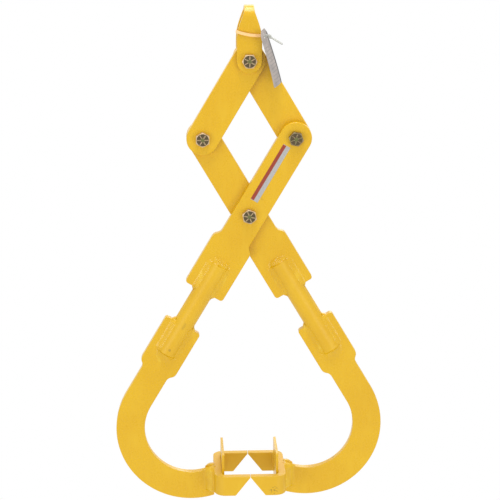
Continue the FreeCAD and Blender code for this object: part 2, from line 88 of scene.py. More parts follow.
pivots = {name: levelled(middle(f"{name}_bolt")) for name in ("top", "left", "right", "centre")}
armAxes = {"left": (pivots["centre"] - pivots["right"]).normalized(),
           "right": (pivots["centre"] - pivots["left"]).normalized()}


def onArm(side, along, aside, y):                    # a place by its distances along an arm and across it
    axis = armAxes[side]
    foot = pivots["centre"] + axis * (along - axis.dot(pivots["centre"]))
    return levelled(foot + axis.cross(backward) * aside, y)


# shader sums

class Sock:                                          # a shader socket that can be added and multiplied
    def __init__(self, tree, socket=None):
        self.tree = tree
        self.socket = socket

    def node(self, kind, settings=None, sockets=None, out=0):
        made = self.tree.nodes.new(kind)
        for name, value in (settings or {}).items():
            setattr(made, name, value)
        for name, value in (sockets or {}).items():
            if isinstance(value, Sock):
                self.tree.links.new(value.socket, made.inputs[name])
            else:
                made.inputs[name].default_value = value
        return Sock(self.tree, made.outputs[out] if made.outputs else None)

    def sum(self, operation, a, b=0.0):
        return self.node("ShaderNodeMath", {"operation": operation}, {0: a, 1: b})

    def __add__(self, other):
        return self.sum("ADD", self, other)

    def __radd__(self, other):
        return self.sum("ADD", other, self)

    def __sub__(self, other):
        return self.sum("SUBTRACT", self, other)

    def __rsub__(self, other):
        return self.sum("SUBTRACT", other, self)

    def __mul__(self, other):
        return self.sum("MULTIPLY", self, other)

    def __rmul__(self, other):
        return self.sum("MULTIPLY", other, self)

    def __abs__(self):
        return self.sum("ABSOLUTE", self)

    def larger(self, other):
        return self.sum("MAXIMUM", self, other)

    def smaller(self, other):
        return self.sum("MINIMUM", self, other)

    def eased(self, low, high):                      # 0 below low, 1 above high, smooth between
        return self.node("ShaderNodeMapRange", {"interpolation_type": "SMOOTHSTEP"},
                         {"Value": self, "From Min": low, "From Max": high})

    def noise(self, place, scale, detail=2.0, rough=0.5):
        return self.node("ShaderNodeTexNoise", {},
                         {"Vector": place, "Scale": scale, "Detail": detail, "Roughness": rough})

    def mix(self, factor, a, b):                     # colours
        return self.node("ShaderNodeMix", {"data_type": "RGBA"}, {0: factor, 6: a, 7: b}, out=2)

    def vector(self, operation, a, b):
        return self.node("ShaderNodeVectorMath", {"operation": operation}, {0: a, 1: b})

    def dot(self, a, b):
        return self.node("ShaderNodeVectorMath", {"operation": "DOT_PRODUCT"}, {0: a, 1: b}, out="Value")

    def length(self, a):
        return self.node("ShaderNodeVectorMath", {"operation": "LENGTH"}, {0: a}, out="Value")

    def bump(self, height, strength, distance, under=None):
        sockets = {"Height": height, "Strength": strength, "Distance": distance}
        if under:
            sockets["Normal"] = under
        return self.node("ShaderNodeBump", {}, sockets)


def newMaterial(name):
    material = bpy.data.materials.new(name)
    material.use_nodes = True
    tree = material.node_tree
    tree.nodes.clear()
    return material, Sock(tree)


def opaque(rgb):
    return (*rgb, 1.0)


def surface(s, sockets):                             # a principled shader on the material's output
    shader = s.node("ShaderNodeBsdfPrincipled", {}, sockets)
    s.node("ShaderNodeOutputMaterial", {}, {"Surface": shader})


def edgeWearAndSheen(s, facing, width, full):                # 0 on flat faces, 1 along sharp edges
    rounded = s.node("ShaderNodeBevel", {"samples": 6}, {"Radius": width})
    return (1 - s.dot(rounded, facing)).eased(0.01, full)


def fromPivot(s, place):                             # distance from the nearest bolt's axis
    nearest = 1.0                                    # farther than any bolt
    for pivot in pivots.values():
        aside = s.vector("MULTIPLY", s.vector("SUBTRACT", place, tuple(pivot)), (1.0, 0.0, 1.0))
        nearest = s.length(aside).smaller(nearest)
    return nearest


def nearTo(s, place, spot, size):                    # 1 at a spot, 0 from its size outwards
    return 1 - s.length(s.vector("SUBTRACT", place, tuple(spot))).eased(size / 2, size)


# finishes

paint = {"colour": (0.722, 0.43, 0.005), "thin": (0.78, 0.51, 0.025), "deep": (0.685, 0.393, 0.003),
         "primer": (0.3, 0.22, 0.13), "speck": (0.17, 0.11, 0.03),
         "edgeWidth": 1.5 * mm, "edgeHighlight": 0.55, "ringInner": 12.5 * mm, "ringOuter": 16.5 * mm,
         "cloudScale": 11, "brushScale": 70, "brushStretch": 0.3, "grainScale": 330,
         "sparseScale": 17, "chipScale": 130, "chipDark": 0.75, "speckScale": 75, "speckDark": 0.7,
         "waveScale": 42, "waveDepth": 0.8 * mm, "peelScale": 620, "peelDepth": 0.12 * mm,
         "dragScale": 420, "dragStretch": 0.06, "dragDepth": 0.35 * mm, "chipDepth": 0.15 * mm}
paintMarks = {"scuff": {"inward": 21 * mm, "rise": 9.2 * mm, "size": 9 * mm, "dark": 0.7},
              "pit": {"fromEnd": 11.3 * mm, "size": 3 * mm, "dark": 0.4},
              "shadowLine": {"fromEnd": 67.9 * mm, "length": 16 * mm, "width": 3.6 * mm, "dark": 0.22}}


def rodFront(side, fromEnd):                         # on the front line of a rod, up from its lower end
    end = reach(f"{side}_rod", armAxes[side])[1]
    return onArm(side, end - fromEnd, 0.0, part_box(f"{side}_rod")[0].y)


def wearAndShadeMarks(s, place, grain):                      # a scuffed toe, and on the left rod a pit and a painted shadow line
    scuff, pit, shadowLine = paintMarks["scuff"], paintMarks["pit"], paintMarks["shadowLine"]
    jawLow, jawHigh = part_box("right_jaw_bar")
    toe = Vector((jawHigh.x - scuff["inward"], jawLow.y, jawLow.z + scuff["rise"]))
    scuffed = nearTo(s, place, toe, scuff["size"]) * grain.eased(0.52, 0.6) * scuff["dark"]
    pitted = nearTo(s, place, rodFront("left", pit["fromEnd"]), pit["size"]) * pit["dark"]

    # painted shadow: a dark line along the left rod
    downRod = tuple(armAxes["left"])
    fromTop = s.vector("SUBTRACT", place, tuple(rodFront("left", shadowLine["fromEnd"])))
    along = s.dot(fromTop, downRod)
    beside = s.length(s.vector("CROSS_PRODUCT", fromTop, downRod))
    width, length = shadowLine["width"], shadowLine["length"]
    line = (1 - beside.eased(width / 4, width)) * along.eased(0.0, width)
    line = line * (1 - along.eased(length - width, length))
    return scuffed.larger(pitted).larger(line * shadowLine["dark"])


# cutSides: flame-cut lines on the edges; the last argument is the share of pale brush marks, which on the welds
# stand for painted highlight strokes and thinner paint on the bead crowns
def paintMaterial(name, roughness, cutSides=0.0, thin=0.22):
    material, s = newMaterial(name)
    place = s.node("ShaderNodeTexCoord", out="Object")
    facing = s.node("ShaderNodeNewGeometry", out="Normal")
    edge = edgeWearAndSheen(s, facing, paint["edgeWidth"], 0.16)
    clouds = s.noise(place, paint["cloudScale"], 3.0, 0.55)
    strokes = s.vector("MULTIPLY", place, (1.0, 1.0, paint["brushStretch"]))
    brush = s.noise(strokes, paint["brushScale"], 3.0, 0.6)
    grain = s.noise(place, paint["grainScale"], 2.0, 0.6)
    # painted contact shadow and grime: darker rings round the bolts
    pivotGrimeAndShade = 1 - fromPivot(s, place).eased(paint["ringInner"], paint["ringOuter"])   # rings round the bolts
    sparse = s.noise(place, paint["sparseScale"], 1.0).eased(0.55, 0.68)
    chips = s.noise(place, paint["chipScale"], 4.0, 0.65).eased(0.62, 0.66) * edge * sparse
    specks = s.noise(place, paint["speckScale"], 0.0).eased(0.8, 0.83) * sparse * paint["speckDark"]
    marks = specks.larger(wearAndShadeMarks(s, place, grain))

    tone = s.mix(clouds.eased(0.3, 0.72), opaque(paint["colour"]), opaque(paint["deep"]))
    tone = s.mix(brush.eased(0.5, 0.75) * thin, tone, opaque(paint["thin"]))
    # painted highlight: sharp edges mixed toward the paler paint
    tone = s.mix(edge * paint["edgeHighlight"], tone, opaque(paint["thin"]))
    # painted shade and grime round the bolts
    tone = s.mix(pivotGrimeAndShade * (0.3 + 0.4 * grain), tone, opaque(paint["deep"]))
    tone = s.mix(chips * paint["chipDark"], tone, opaque(paint["primer"]))
    tone = s.mix(marks, tone, opaque(paint["speck"]))

    rough = roughness + 0.16 * (brush - 0.5) + 0.1 * (grain - 0.5) + 0.25 * chips + 0.12 * pivotGrimeAndShade
    normal = s.bump(s.noise(place, paint["waveScale"]), 0.22, paint["waveDepth"])
    normal = s.bump(s.noise(place, paint["peelScale"], 1.0), 0.08, paint["peelDepth"], normal)
    if cutSides:
        drawn = s.vector("MULTIPLY", place, (1.0, paint["dragStretch"], 1.0))
        drag = s.noise(drawn, paint["dragScale"], 2.0, 0.7)
        cutFace = 1 - abs(s.dot(facing, tuple(backward))).eased(0.25, 0.6)
        normal = s.bump(drag * cutFace, cutSides, paint["dragDepth"], normal)
    normal = s.bump(1 - chips, 0.3, paint["chipDepth"], normal)
    surface(s, {"Base Color": tone, "Roughness": rough, "Normal": normal})
    return material


zinc = {"colour": (0.235, 0.185, 0.115), "olive": (0.17, 0.175, 0.07), "rose": (0.25, 0.16, 0.1),
        "dull": (0.1, 0.076, 0.045), "reflectionTone": (0.74, 0.54, 0.33), "edgeWidth": 0.9 * mm,
        "hub": 3.4 * mm, "hubFade": 1 * mm, "face": 9.8 * mm, "faceFade": 0.5 * mm, "rimFade": 0.8 * mm,
        "hueScale": 160, "blotchScale": 95, "fineScale": 1400, "fineDepth": 0.06 * mm}


# head: a dark face with an olive hub; then the shares of painted reflection along the edges and the head's rim,
# and of painted highlight all over
def zincMaterial(name, head=False, edgeSheen=0.5, overallSheen=0.0):
    material, s = newMaterial(name)
    place = s.node("ShaderNodeTexCoord", out="Object")
    facing = s.node("ShaderNodeNewGeometry", out="Normal")
    edge = edgeWearAndSheen(s, facing, zinc["edgeWidth"], 0.14)
    hue = s.noise(place, zinc["hueScale"])
    blotch = s.noise(place, zinc["blotchScale"], 4.0, 0.65)
    fine = s.noise(place, zinc["fineScale"])
    tone = s.mix(hue.eased(0.42, 0.62), opaque(zinc["olive"]), opaque(zinc["rose"]))
    tone = s.mix(0.5, tone, opaque(zinc["colour"]))
    tone = s.mix(blotch.eased(0.52, 0.72) * 0.6, tone, opaque(zinc["dull"]))
    if head:
        away = fromPivot(s, place)
        front = s.dot(facing, tuple(-backward)).eased(0.9, 0.97)
        inFace = front * (1 - away.eased(zinc["face"], zinc["face"] + zinc["faceFade"]))
        inHub = inFace * (1 - away.eased(zinc["hub"] - zinc["hubFade"], zinc["hub"] + zinc["hubFade"]))
        tone = s.mix(inFace * (0.75 + 0.25 * blotch), tone, opaque(zinc["dull"]))
        tone = s.mix(inHub, tone, opaque(zinc["olive"]))
        edge = edge.larger(away.eased(zinc["face"], zinc["face"] + zinc["rimFade"]))
    # painted reflection on edges and the chamfer rim, painted highlight over the strokes
    tone = s.mix((edge * edgeSheen).larger(overallSheen), tone, opaque(zinc["reflectionTone"]))
    metal = 0.95 - 0.35 * blotch.eased(0.55, 0.75)
    rough = 0.34 + 0.3 * blotch.eased(0.4, 0.7) + 0.12 * (fine - 0.5)
    normal = s.bump(fine, 0.18, zinc["fineDepth"])
    surface(s, {"Base Color": tone, "Metallic": metal, "Roughness": rough, "Normal": normal})
    return material


nylon = {"milkyYellowBounce": (0.97, 0.6, 0.255), "clear": (0.92, 0.56, 0.23), "bareShaded": (0.42, 0.42, 0.38),
         "overPaint": 21 * mm, "offPaint": 24 * mm, "roughness": 0.45,
         "hazeScale": 210, "scuffScale": 1600, "scuffDepth": 0.05 * mm}


def nylonMaterial():                                 # painted yellow bounce light where it lies over the paint, painted shade where it stands free and greyer
    material, s = newMaterial("naturalNylon")
    place = s.node("ShaderNodeTexCoord", out="Object")
    haze = s.noise(place, nylon["hazeScale"], 3.0)
    scuff = s.noise(place, nylon["scuffScale"])
    free = s.dot(place, tuple(rightward)).eased(nylon["overPaint"], nylon["offPaint"])
    # both hazes carry painted yellow bounce light from the paint
    tone = s.mix(haze.eased(0.35, 0.7), opaque(nylon["milkyYellowBounce"]), opaque(nylon["clear"]))
    tone = s.mix(free, tone, opaque(nylon["bareShaded"]))
    rough = nylon["roughness"] + 0.15 * (scuff - 0.5)
    normal = s.bump(scuff, 0.1, nylon["scuffDepth"])
    surface(s, {"Base Color": tone, "Roughness": rough, "Normal": normal})
    return material


platePaint = paintMaterial("platePaint", 0.28, cutSides=0.5)
barPaint = paintMaterial("barPaint", 0.44)
# the welds' pale strokes: painted highlight, partly thinner paint on the bead crowns
weldPaint = paintMaterial("weldPaint", 0.24, thin=0.9)
zincPlate = zincMaterial("zincPlate")
zincHead = zincMaterial("zincHead", head=True, edgeSheen=0.8)
zincDark = zincMaterial("zincDark", head=True, edgeSheen=0.1)
# the raised strokes: a paler copy of the zinc with painted highlight
zincStroke = zincMaterial("zincStroke", edgeSheen=0.9, overallSheen=0.35)
naturalNylon = nylonMaterial()
print("paint, zinc and nylon made")


# writes a bmesh to a finished piece that rides on a body

def addPiece(name, bm, material, body, slot, *replaced, crease=32):
    mesh = bpy.data.meshes.new(name)
    bm.to_mesh(mesh)
    bm.free()
    mesh.shade_smooth()
    mesh.set_sharp_from_angle(angle=math.radians(crease))
    mesh.materials.append(material)
    piece = bpy.data.objects.new(name, mesh)
    bpy.context.scene.collection.objects.link(piece)
    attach(piece, body)
    if replaced:
        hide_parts(*replaced)
    print("piece", name, "on", body, len(mesh.polygons), "faces")


def joinInto(bm, part):                              # adds a finished lump to a larger bmesh
    mesh = bpy.data.meshes.new("lump")
    part.to_mesh(mesh)
    part.free()
    bm.from_mesh(mesh)
    bpy.data.meshes.remove(mesh)


# weld beads

weld = {"sides": 32, "step": 0.8 * mm, "pitch": 3.4 * mm, "lead": 3.0 * mm, "waveMean": 0.6,
        "wander": 9 * mm, "blunt": 0.2, "rootShare": 0.3, "sunk": 0.3 * mm, "crease": 60}


def beadSection(angle, bulge):                       # legs of 1 along two faces, hollow or full between them
    turn = (angle + math.pi / 2) / 2
    if 0 <= turn <= math.pi / 2:
        swell = bulge * math.sin(2 * turn) ** 2
        return 1 - math.sin(turn) + swell, 1 - math.cos(turn) + swell
    back = abs(abs(angle) - math.pi / 2) / (math.pi / 2)   # 0 at a toe, 1 at the root inside the metal
    side = 1 - back * (1 + weld["rootShare"])
    other = -weld["rootShare"] * back
    return (side, other) if angle < 0 else (other, side)


# a bead in the corner of two faces, given as their outward directions, with one leg along each
# ripple and uneven are shares of its size, and riseAt lowers its second leg along the run
def addBead(bm, start, end, faces, legs, bulge, ripple, endLength, uneven=0.12, riseAt=None):
    along = end - start
    length = along.length
    root = start - (faces[0].normalized() + faces[1].normalized()) * weld["sunk"]
    bar = bmesh.new()
    bmesh.ops.create_cone(bar, cap_ends=True, segments=weld["sides"], radius1=1, radius2=1, depth=length)
    runs = [edge for edge in bar.edges if abs(edge.verts[0].co.z - edge.verts[1].co.z) > length / 2]
    bmesh.ops.subdivide_edges(bar, edges=runs, cuts=round(length / weld["step"]))
    seed = (start.x + 3 * start.y + 7 * start.z) / mm   # each bead drifts in its own way
    for vert in bar.verts:
        angle = math.atan2(vert.co.y, vert.co.x)
        crown = max(math.cos(angle), 0)              # 1 along the top of the bead, 0 at its toes
        run = vert.co.z + length / 2
        wave = abs(math.sin(math.pi * (run + weld["lead"] * crown ** 2) / weld["pitch"]))
        drift = noise.noise(Vector((run / weld["wander"], seed, crown)))
        left = min(run / endLength, (length - run) / endLength, 1)
        ending = max(math.sqrt(max(1 - (1 - left) ** 2, 0)), weld["blunt"])
        size = (1 + ripple * crown * (wave - weld["waveMean"]) + uneven * drift) * ending
        shares = beadSection(angle, bulge)
        if riseAt:
            shares = (shares[0], shares[1] * riseAt(run - length / 2))
        place = root + along * (run / length)
        for face, leg, share in zip(faces, legs, shares):
            place = place + face.normalized() * (leg * share * size)
        vert.co = place
    bmesh.ops.recalc_face_normals(bar, faces=bar.faces)
    if bar.calc_volume(signed=True) < 0:             # the hollow section can mislead the recalculation
        bmesh.ops.reverse_faces(bar, faces=bar.faces)
    joinInto(bm, bar)


rodWeld = {"inset": 1.2 * mm, "past": 2.0 * mm, "crossPast": 3.0 * mm, "lean": 131, "lowest": 0.2,
           "edge": {"legs": (8 * mm, 11 * mm), "bulge": 0.14, "ripple": 0.12, "endLength": 8 * mm},
           "leaving": {"legs": (7 * mm, 8 * mm), "bulge": 0.12, "ripple": 0.05, "endLength": 3 * mm},
           "upperEnd": {"legs": (11 * mm, 10.5 * mm), "bulge": 0.16, "ripple": 0.2, "endLength": 9 * mm,
                        "uneven": 0.25},
           "lowerEnd": {"legs": (23 * mm, 11.6 * mm), "bulge": 0.08, "ripple": 0.04, "endLength": 18 * mm,
                        "uneven": 0.04}}


def rodBeads(side, plate, rodEnd, plateEnd):         # the rod's edges and end, and where it leaves the plate
    axis = armAxes[side]
    across = axis.cross(backward)
    low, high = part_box(plate)
    rodLow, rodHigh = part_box(f"{side}_rod")
    rodRadius = (rodHigh.y - rodLow.y) / 2
    plateHalf = (high.y - low.y) / 2
    seam = rodRadius - rodWeld["inset"]
    crossEnd = seam + rodWeld["crossPast"]
    leaving = axis * math.copysign(1, plateEnd - rodEnd)
    endRun = rodWeld["upperEnd"] if plateEnd > rodEnd else rodWeld["lowerEnd"]
    tip = plateEnd + math.copysign(rodWeld["past"], plateEnd - rodEnd)
    lean = math.radians(rodWeld["lean"])

    def rodRise(aside):                              # its rise over the plate, as a share of the highest
        rise = math.sqrt(max(rodRadius ** 2 - aside ** 2, 0)) - plateHalf
        return max(rise / (rodRadius - plateHalf), rodWeld["lowest"])

    bm = bmesh.new()
    for y, outward in ((low.y, -backward), (high.y, backward)):
        for hand in (-1, 1):
            upRod = across * hand * math.cos(lean) + outward * math.sin(lean)
            addBead(bm, onArm(side, rodEnd, hand * seam, y), onArm(side, tip, hand * seam, y),
                    (across * hand, upRod), **rodWeld["edge"])
        addBead(bm, onArm(side, rodEnd, -crossEnd, y), onArm(side, rodEnd, crossEnd, y),
                (-leaving, outward), riseAt=rodRise, **endRun)
    for hand in (-1, 1):
        aside = hand * rodRadius
        addBead(bm, onArm(side, plateEnd, aside, low.y), onArm(side, plateEnd, aside, high.y),
                (across * hand, leaving), **rodWeld["leaving"])
    return bm


hookWeld = {"topRise": 0.8 * mm, "footDrop": 12 * mm,
            "front": {"legs": (21 * mm, 16 * mm), "bulge": 0.18, "ripple": 0.02, "endLength": 9 * mm,
                      "uneven": 0.06},
            "rear": {"legs": (15 * mm, 15 * mm), "bulge": 0.4, "ripple": 0.05, "endLength": 4.5 * mm}}


def hookBeads(side):                                 # a wide smooth run in each corner of hook and jaw
    sign = sideSigns[side]
    low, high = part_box(f"{side}_hook_plate")
    jawLow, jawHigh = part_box(f"{side}_jaw_bar")
    jawFace = jawHigh.x if sign > 0 else jawLow.x
    bm = bmesh.new()
    for y, outward, run in ((low.y, -backward, "front"), (high.y, backward, "rear")):
        foot = Vector((jawFace, y, jawLow.z - hookWeld["footDrop"]))
        head = Vector((jawFace, y, jawHigh.z + hookWeld["topRise"]))
        addBead(bm, foot, head, (rightward * sign, outward), **hookWeld[run])
    return bm


stopWeld = {"inset": 11 * mm,
            "run": {"legs": (3.2 * mm, 3.2 * mm), "bulge": 0.3, "ripple": 0.1, "endLength": 3 * mm}}


def stopBead(side):                                  # under the stop plate's foot
    sign = sideSigns[side]
    low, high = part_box(f"{side}_stop_plate")
    wall = high.x if sign > 0 else low.x
    start = Vector((wall, low.y + stopWeld["inset"], low.z))
    end = Vector((wall, high.y - stopWeld["inset"], low.z))
    bm = bmesh.new()
    addBead(bm, start, end, (-rightward * sign, -upward), **stopWeld["run"])
    return bm


for side, axis in armAxes.items():
    rodTop, rodBottom = reach(f"{side}_rod", axis)
    armEnd = reach(f"{side}_arm_plate", axis)[1]
    hookTop = reach(f"{side}_hook_plate", axis)[0]
    body = bodyOf[f"{side}_rod"]
    beads = {"upper_rod_welds": rodBeads(side, f"{side}_arm_plate", rodTop, armEnd),
             "lower_rod_welds": rodBeads(side, f"{side}_hook_plate", rodBottom, hookTop),
             "hook_welds": hookBeads(side),
             "stop_weld": stopBead(side)}
    for name, bm in beads.items():
        node = f"{side}_{name}"
        addPiece(f"{node}_rippled", bm, weldPaint, body, slotOf[node], node, crease=weld["crease"])
print("weld beads laid")


# bolts: raised strokes on the heads, thread ends behind the nuts

headMarks = {"count": 6, "inner": 3.0 * mm, "outer": 9.2 * mm, "width": 1.8 * mm, "rise": 0.9 * mm,
             "sink": 0.3 * mm, "round": 0.25 * mm, "turns": {"top": 30, "left": 0, "right": 42, "centre": 10},
             "finish": {"top": zincStroke, "left": zincStroke, "right": zincPlate, "centre": zincStroke}}
thread = {"radius": 7.0 * mm, "pitch": 2.0 * mm, "rise": 0.45 * mm, "sink": 0.3 * mm,
          "stepsPerTurn": 48, "turns": 1}


def headStrokes(name):
    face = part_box(f"{name}_bolt")[0].y
    length = headMarks["outer"] - headMarks["inner"]
    size = (length, headMarks["rise"] + headMarks["sink"], headMarks["width"])
    midRadius = (headMarks["outer"] + headMarks["inner"]) / 2
    depth = (headMarks["sink"] - headMarks["rise"]) / 2
    bm = bmesh.new()
    for index in range(headMarks["count"]):
        bar = bmesh.new()
        bmesh.ops.create_cube(bar, size=1)
        bmesh.ops.scale(bar, vec=size, verts=bar.verts)
        bmesh.ops.bevel(bar, geom=bar.edges[:], offset=headMarks["round"], affect="EDGES", segments=2,
                        profile=0.5, material=-1)
        bmesh.ops.translate(bar, vec=(midRadius, depth, 0), verts=bar.verts)
        turn = math.radians(headMarks["turns"][name] + 360 * index / headMarks["count"])
        bmesh.ops.rotate(bar, matrix=Matrix.Rotation(turn, 3, "Y"), verts=bar.verts)
        bmesh.ops.translate(bar, vec=levelled(pivots[name], face), verts=bar.verts)
        joinInto(bm, bar)
    return bm


def threadRidge(name):
    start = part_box(f"{name}_lock_nut")[1].y + thread["pitch"] / 2
    half = thread["pitch"] / 2
    bm = bmesh.new()
    corners = []
    for out, along in ((-thread["sink"], -half), (thread["rise"], 0), (-thread["sink"], half)):
        foot = levelled(pivots[name], start + along)
        corners.append(bm.verts.new(foot + rightward * (thread["radius"] + out)))
    edges = [bm.edges.new((corners[i], corners[i - 1])) for i in range(3)]
    bmesh.ops.spin(bm, geom=corners + edges, cent=pivots[name], axis=backward,
                   angle=2 * math.pi * thread["turns"], steps=thread["stepsPerTurn"] * thread["turns"],
                   dvec=backward * (thread["pitch"] / thread["stepsPerTurn"]))
    bmesh.ops.holes_fill(bm, edges=bm.edges[:], sides=0)   # both ends of the helix
    bmesh.ops.recalc_face_normals(bm, faces=bm.faces)
    return bm


for name in pivots:
    bolt = f"{name}_bolt"
    body, slot = bodyOf[bolt], slotOf[bolt]
    addPiece(f"{name}_head_strokes", headStrokes(name), headMarks["finish"][name], body, slot)
    addPiece(f"{name}_thread_end", threadRidge(name), zincPlate, body, slot)
print("bolt details made")


# cable tie: a band bowed round the front leg of the bail, neck, head and toothed tail

tie = {"drop": 35.3 * mm, "tilt": 9, "halfSpan": 21.2 * mm, "halfDepth": 4.8 * mm, "squareShare": 0.25,
       "segments": 112, "bulge": 2.0 * mm, "sag": 2.0 * mm, "width": 4.8 * mm, "thickness": 1.2 * mm,
       "neckLength": 8 * mm, "neckThickness": 2.6 * mm, "neckRound": 0.4 * mm,
       "headSize": (5.0 * mm, 7.2 * mm, 6.4 * mm), "headRound": 0.9 * mm,
       "tailLength": 25 * mm, "tailThickness": 1.3 * mm, "tailDroop": 22, "tailRoll": 20,
       "teeth": 22, "toothDepth": 0.08 * mm, "taperFrom": 0.85, "tipWidth": 0.6}


def tieBand():
    bm = bmesh.new()
    bmesh.ops.create_circle(bm, segments=tie["segments"], radius=1)
    for vert in bm.verts:
        x = math.copysign(abs(vert.co.x) ** tie["squareShare"], vert.co.x)
        y = math.copysign(abs(vert.co.y) ** tie["squareShare"], vert.co.y)
        front = max(-y, 0) * (1 - x * x)             # 1 in the middle of the front run
        bowed = y * tie["halfDepth"] - tie["bulge"] * front
        vert.co = Vector((x * tie["halfSpan"], bowed, -tie["sag"] * front))
    wall = bmesh.ops.extrude_edge_only(bm, edges=bm.edges[:])["geom"]
    rim = [item for item in wall if isinstance(item, bmesh.types.BMVert)]
    bmesh.ops.translate(bm, vec=upward * tie["width"], verts=rim)
    bmesh.ops.translate(bm, vec=-upward * tie["width"] / 2, verts=bm.verts)
    bmesh.ops.recalc_face_normals(bm, faces=bm.faces)
    bmesh.ops.solidify(bm, geom=bm.faces[:], thickness=-tie["thickness"])
    bmesh.ops.recalc_face_normals(bm, faces=bm.faces)
    return bm


def tieBlock(size, place, roundness):
    bm = bmesh.new()
    bmesh.ops.create_cube(bm, size=1)
    bmesh.ops.scale(bm, vec=size, verts=bm.verts)
    bmesh.ops.bevel(bm, geom=bm.edges[:], offset=roundness, affect="EDGES", segments=3, profile=0.5,
                    material=-1)
    bmesh.ops.translate(bm, vec=place, verts=bm.verts)
    return bm


def tieTail():
    length = tie["tailLength"]
    bm = bmesh.new()
    bmesh.ops.create_cube(bm, size=1)
    bmesh.ops.translate(bm, vec=(0.5, 0, 0), verts=bm.verts)
    bmesh.ops.scale(bm, vec=(length, tie["width"], tie["tailThickness"]), verts=bm.verts)
    runs = [edge for edge in bm.edges if abs(edge.verts[0].co.x - edge.verts[1].co.x) > length / 2]
    bmesh.ops.subdivide_edges(bm, edges=runs, cuts=2 * tie["teeth"] - 1)
    for vert in bm.verts:
        share = vert.co.x / length
        if vert.co.z < 0 and round(share * 2 * tie["teeth"]) % 2:
            vert.co.z += tie["toothDepth"]
        vert.co.y *= 1 - (1 - tie["tipWidth"]) * max(share - tie["taperFrom"], 0) / (1 - tie["taperFrom"])
    bmesh.ops.rotate(bm, matrix=Matrix.Rotation(math.radians(tie["tailRoll"]), 3, "X"), verts=bm.verts)
    bmesh.ops.rotate(bm, matrix=Matrix.Rotation(math.radians(tie["tailDroop"]), 3, "Y"), verts=bm.verts)
    return bm


def cableTie():
    strapLow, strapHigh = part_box("bail_strap")
    legMiddle = strapLow.y + strapHigh.z / 2         # the crown's height is the strap's thickness
    lineY = -(tie["halfDepth"] + tie["thickness"] - tie["neckThickness"] / 2)
    neckStart = tie["halfSpan"]
    headStart = neckStart + tie["thickness"] + tie["neckLength"]
    headMiddle = headStart + tie["headSize"][0] / 2
    neckSize = (headStart - neckStart, tie["neckThickness"], tie["width"])
    tail = tieTail()
    bmesh.ops.translate(tail, vec=(headMiddle, lineY, 0), verts=tail.verts)
    bm = bmesh.new()
    joinInto(bm, tieBand())
    joinInto(bm, tieBlock(neckSize, ((neckStart + headStart) / 2, lineY, 0), tie["neckRound"]))
    joinInto(bm, tieBlock(tie["headSize"], (headMiddle, lineY, 0), tie["headRound"]))
    joinInto(bm, tail)
    bmesh.ops.rotate(bm, matrix=Matrix.Rotation(math.radians(tie["tilt"]), 3, "Y"), verts=bm.verts)
    bmesh.ops.translate(bm, vec=(0, legMiddle, -tie["drop"]), verts=bm.verts)
    return bm


addPiece("cable_tie_bowed", cableTie(), naturalNylon, bodyOf["cable_tie"], slotOf["cable_tie"], "cable_tie")


# hang tag: a thin bare card with cut upper corners, slightly bowed, darker in a band along its rear edge

tag = {"length": 95 * mm, "width": 38 * mm, "thickness": 0.8 * mm, "cornerCut": 9 * mm, "round": 2.2 * mm,
       "hole": 8.4 * mm, "holeDrop": 11 * mm, "sag": 0.3 * mm, "aside": -1.2 * mm, "forward": 0.3 * mm,
       "lean": 15.5, "twist": 23, "topTurn": 5, "bow": 1.4 * mm, "curl": 0.8,
       "holeSides": 28, "slices": 12, "sliver": 0.02 * mm}
tagLook = {"card": (0.42, 0.37, 0.34), "worn": (0.32, 0.295, 0.28), "rule": (0.2, 0.19, 0.19),
            "border": (0.09, 0.087, 0.087), "borderWidth": 7.5 * mm, "borderDark": 0.9, "fade": 1 * mm,
            "ruleGap": 3.0 * mm, "ruleHalf": 0.25 * mm, "ruleFade": 0.3 * mm, "ruleInset": 6 * mm,
            "ruleStart": 14 * mm, "ruleEnd": 78 * mm, "ruleInk": 0.85,
            "fibreScale": 900, "fibreDepth": 0.05 * mm, "handledScale": 60}
alongTie = Matrix.Rotation(math.radians(tie["tilt"]), 3, "Y") @ rightward
tagHole = hinges["tag_swing"] + alongTie * tag["aside"] - backward * tag["forward"]
tagLean = Matrix.Rotation(math.radians(-tag["lean"]), 4, "Y")
tagTwist = Matrix.Rotation(math.radians(-tag["twist"]), 4, "Z")
tagPlace = Matrix.Translation(tagHole) @ tagLean @ tagTwist @ Matrix.Translation(-upward * tag["sag"])


